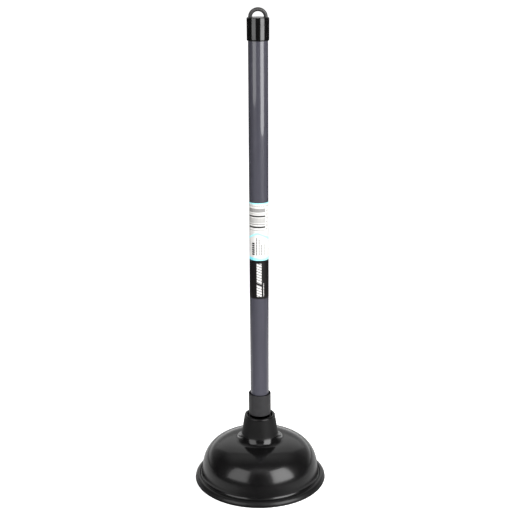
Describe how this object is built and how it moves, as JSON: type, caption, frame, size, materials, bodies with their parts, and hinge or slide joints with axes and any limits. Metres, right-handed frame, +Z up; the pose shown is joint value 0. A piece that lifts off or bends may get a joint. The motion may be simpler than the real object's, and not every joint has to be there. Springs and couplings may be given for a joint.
{
  "type": "plunger",
  "caption": "Sink and drain plunger: flared rubber cup with a tapered neck, screwed to a straight plastic-coated tube handle that ends in a cap with a hanging loop.",
  "frame": {"origin": "on the handle's axis, in the plane of the cup's flat underside", "axes": "+Z up along the handle, +X to the right and -Y towards the viewer of the picture; the hanging loop lies in the XZ plane"},
  "size_m": [0.1582, 0.1582, 0.5628],
  "materials": {
    "black_rubber": "semi-gloss moulded",
    "dark_matte_plastic": "fine matte",
    "rolled_steel": "rolled",
    "grey_plastic_skin": "gloss",
    "printed_film": null,
    "glossy_black_plastic": "gloss"
  },
  "bodies": {
    "cup": {"rubber_cup": "black_rubber"},
    "handle": {"threaded_adapter": "dark_matte_plastic", "steel_tube": "rolled_steel", "tube_sleeve": "grey_plastic_skin", "label_wrap": "printed_film", "hanger_cap": "glossy_black_plastic"}
  },
  "joints": [
    {"name": "plunge_stroke", "type": "slide", "parent": "cup", "child": "handle", "axis": [0, 0, -1], "range_m": [0, 0.025], "stiffness_N_per_m": 2000, "springref_m": -0.002, "deforming": ["rubber_cup"]}
  ]
}
